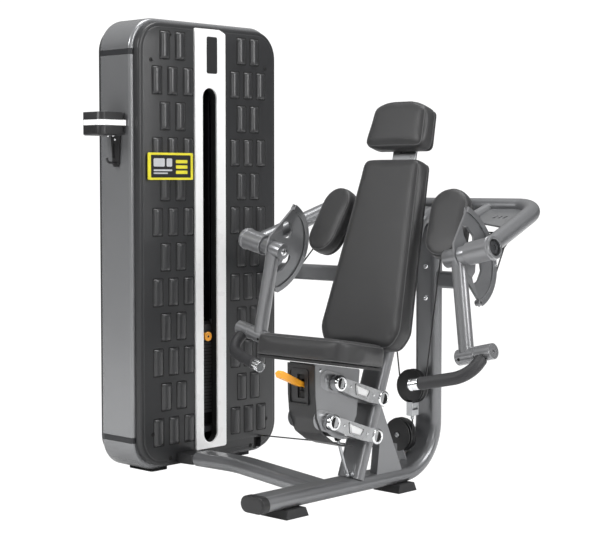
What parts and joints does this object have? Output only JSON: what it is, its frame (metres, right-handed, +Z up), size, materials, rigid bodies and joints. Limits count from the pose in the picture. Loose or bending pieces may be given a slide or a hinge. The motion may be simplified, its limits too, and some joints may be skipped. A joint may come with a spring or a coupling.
{
  "type": "biceps machine",
  "caption": "Plate-stack arm curl machine: weight tower with selector pin, seat on a parallelogram, padded back and arm rests, cam levers with swivelling handles, cables and pulleys.",
  "frame": {"origin": "centre of the footprint, on the floor", "axes": "+Z up; the user faces -Y; the weight tower stands on the -X side"},
  "size_m": [1.5688, 0.924, 1.622],
  "materials": {
    "frame": "metallic grey powder coat, satin",
    "tower": "metallic grey powder coat, satin",
    "cover": "black moulded plastic, fine grain",
    "white": "white gloss",
    "black": "black moulded plastic",
    "rubber": "black rubber, matt",
    "upholstery": "charcoal synthetic leather, fine grain",
    "chrome": "polished",
    "cast": "polished casting",
    "steel": "zinc plated",
    "iron": "black paint",
    "orange": "orange moulded plastic",
    "cable": "black plastic coating on steel wire rope",
    "band": "dark grey paint"
  },
  "bodies": {
    "frame": {"main_rail_column": "frame", "rail_end_cap": "black", "front_foot": "rubber", "rear_foot": "rubber", "base_link_tube": "frame", "tower_coupling": "black", "tie_bar": "frame", "back_post": "frame", "backrest_pad": "upholstery", "headrest_pad": "upholstery", "headrest_bracket": "steel", "top_frame_tube": "frame", "right_arm_pad": "upholstery", "left_arm_pad": "upholstery", "tower_front_side": "tower", "tower_rear_side": "tower", "tower_top_cap": "tower", "tower_bottom_cap": "tower", "tower_foot_front": "rubber", "tower_foot_rear": "rubber", "upper_crosshead": "band", "lower_crosshead": "band", "guide_rod_front": "chrome", "guide_rod_rear": "chrome", "front_cover": "cover", "rear_cover": "cover", "window_frame": "white", "bottle_holder": "black", "lower_weight_plates": "iron", "stack_buffer": "rubber", "arm_cable": "cable", "stack_cable": "cable"},
    "stack": {"top_plate_and_stem": "iron", "selected_weight_plate": "iron"},
    "pin": {"selector_pin": "orange"},
    "top_pulley_front": {"tower_top_pulley_front": "black"},
    "top_pulley_rear": {"tower_top_pulley_rear": "black"},
    "low_pulley": {"tower_low_pulley": "black"},
    "base_pulley": {"base_pulley": "black"},
    "right_corner_pulley": {"right_corner_pulley": "black"},
    "left_corner_pulley": {"left_corner_pulley": "black"},
    "right_guide_pulley": {"right_guide_pulley": "black"},
    "left_guide_pulley": {"left_guide_pulley": "black"},
    "floating_block": {"floating_block": "black"},
    "floating_pulley": {"floating_pulley": "black"},
    "right_arm": {"right_arm": "frame"},
    "left_arm": {"left_arm": "frame"},
    "right_handle": {"right_handle": "chrome", "right_grip": "rubber"},
    "left_handle": {"left_handle": "chrome", "left_grip": "rubber"},
    "upper_link": {"upper_seat_link": "cast"},
    "lower_link": {"lower_seat_link": "cast"},
    "seat": {"seat_pad": "upholstery", "seat_carriage": "frame", "seat_shroud": "black"},
    "lever": {"seat_lever": "orange"},
    "gas_rod": {"gas_spring_rod": "chrome"},
    "gas_cylinder": {"gas_spring_cylinder": "black"}
  },
  "joints": [
    {"name": "stack_lift", "type": "slide", "parent": "frame", "child": "stack", "axis": [0, 0, 1], "range_m": [0, 0.3], "deforming": ["stack_cable", "arm_cable"]},
    {"name": "selector_pin_pull", "type": "slide", "parent": "stack", "child": "pin", "axis": [1, 0, 0], "range_m": [0, 0.055]},
    {"name": "top_pulley_front_spin", "type": "hinge", "parent": "frame", "child": "top_pulley_front", "pos_m": [-0.67236, 0.145, 1.5125], "axis": [-1, 0, 0], "range_deg": [-2, 363.9]},
    {"name": "top_pulley_rear_spin", "type": "hinge", "parent": "frame", "child": "top_pulley_rear", "pos_m": [-0.67236, 0.3095, 1.5125], "axis": [-1, 0, 0], "range_deg": [-2, 363.9]},
    {"name": "low_pulley_spin", "type": "hinge", "parent": "frame", "child": "low_pulley", "pos_m": [-0.64239, 0.35557, 0.10471], "axis": [-0.0477, -0.9989, 0], "range_deg": [-2, 575]},
    {"name": "base_pulley_spin", "type": "hinge", "parent": "frame", "child": "base_pulley", "pos_m": [0.1749, 0.31652, 0.17295], "axis": [-0.0477, -0.9989, 0], "range_deg": [-2, 327.5]},
    {"name": "right_corner_pulley_spin", "type": "hinge", "parent": "frame", "child": "right_corner_pulley", "pos_m": [0.58814, 0.29193, 0.85038], "axis": [0.0173, -0.7516, 0.6594], "range_deg": [-454.3, 2]},
    {"name": "left_corner_pulley_spin", "type": "hinge", "parent": "frame", "child": "left_corner_pulley", "pos_m": [-0.13286, 0.29193, 0.85038], "axis": [0.0173, 0.7516, -0.6594], "range_deg": [-454.3, 2]},
    {"name": "right_guide_pulley_spin", "type": "hinge", "parent": "frame", "child": "right_guide_pulley", "pos_m": [0.39222, 0.31678, 0.84408], "axis": [0.0001, -1, 0.0055], "range_deg": [-431.7, 2]},
    {"name": "left_guide_pulley_spin", "type": "hinge", "parent": "frame", "child": "left_guide_pulley", "pos_m": [0.06306, 0.31678, 0.84408], "axis": [0.0001, 1, -0.0055], "range_deg": [-431.7, 2]},
    {"name": "floating_block_lift", "type": "slide", "parent": "frame", "child": "floating_block", "axis": [0, 0, 1], "range_m": [0, 0.301], "deforming": ["stack_cable", "arm_cable"]},
    {"name": "floating_pulley_spin", "type": "hinge", "parent": "floating_block", "child": "floating_pulley", "pos_m": [0.22764, 0.314, 0.346], "axis": [0, 1, 0], "continuous": true},
    {"name": "right_arm_curl", "type": "hinge", "parent": "frame", "child": "right_arm", "pos_m": [0.67764, 0.044, 0.826], "axis": [-0.973, 0, -0.2309], "range_deg": [0, 103.2], "deforming": ["arm_cable"]},
    {"name": "right_handle_swivel", "type": "hinge", "parent": "right_arm", "child": "right_handle", "pos_m": [0.71064, 0.024, 0.517], "axis": [-0.973, 0, -0.2309], "range_deg": [-30, 30]},
    {"name": "left_arm_curl", "type": "hinge", "parent": "frame", "child": "left_arm", "pos_m": [-0.22236, 0.044, 0.826], "axis": [-0.973, 0, 0.2309], "range_deg": [0, 103.2], "deforming": ["arm_cable"]},
    {"name": "left_handle_swivel", "type": "hinge", "parent": "left_arm", "child": "left_handle", "pos_m": [-0.25536, 0.024, 0.517], "axis": [-0.973, 0, 0.2309], "range_deg": [-30, 30]},
    {"name": "seat_height", "type": "hinge", "parent": "frame", "child": "upper_link", "pos_m": [0.22764, 0.063, 0.337], "axis": [-1, 0, 0], "range_deg": [-18, 6]},
    {"name": "lower_link_turn", "type": "hinge", "parent": "frame", "child": "lower_link", "pos_m": [0.22764, 0.0325, 0.2155], "axis": [-1, 0, 0], "range_deg": [-18.5, 6.5]},
    {"name": "seat_carriage_turn", "type": "hinge", "parent": "upper_link", "child": "seat", "pos_m": [0.22764, -0.145, 0.407], "axis": [-1, 0, 0], "range_deg": [-6.5, 18.5]},
    {"name": "gas_spring_turn", "type": "hinge", "parent": "frame", "child": "gas_rod", "pos_m": [0.24764, -0.046, 0.092], "axis": [-1, 0, 0], "range_deg": [-9.5, 3.5]},
    {"name": "gas_spring_stroke", "type": "slide", "parent": "gas_rod", "child": "gas_cylinder", "axis": [0, -0.34, 0.9404], "range_m": [-0.058, 0.021]},
    {"name": "seat_lever_pull", "type": "hinge", "parent": "seat", "child": "lever", "pos_m": [0.22764, -0.214, 0.4], "axis": [-1, 0, 0], "range_deg": [0, 8], "stiffness_Nm_per_rad": 3, "springref_deg": -8.59}
  ],
  "couplings": [
    {"joint": "top_pulley_front_spin", "follows": "stack_lift", "rad_per_m": 21.053},
    {"joint": "top_pulley_rear_spin", "follows": "stack_lift", "rad_per_m": 21.053},
    {"joint": "low_pulley_spin", "follows": "stack_lift", "rad_per_m": 33.333},
    {"joint": "base_pulley_spin", "follows": "stack_lift", "rad_per_m": 18.939},
    {"joint": "right_corner_pulley_spin", "follows": "stack_lift", "rad_per_m": -26.316},
    {"joint": "left_corner_pulley_spin", "follows": "stack_lift", "rad_per_m": -26.316},
    {"joint": "right_guide_pulley_spin", "follows": "stack_lift", "rad_per_m": -25},
    {"joint": "left_guide_pulley_spin", "follows": "stack_lift", "rad_per_m": -25},
    {"joint": "floating_block_lift", "follows": "stack_lift", "ratio": 1},
    {"joint": "right_arm_curl", "follows": "stack_lift", "rad_per_m": 5.9952},
    {"joint": "left_arm_curl", "follows": "stack_lift", "rad_per_m": 5.9952},
    {"joint": "lower_link_turn", "follows": "seat_height", "ratio": 1},
    {"joint": "seat_carriage_turn", "follows": "seat_height", "ratio": -1},
    {"joint": "gas_spring_turn", "follows": "seat_height", "ratio": 0.4926},
    {"joint": "gas_spring_stroke", "follows": "seat_height", "m_per_rad": 0.179}
  ]
}
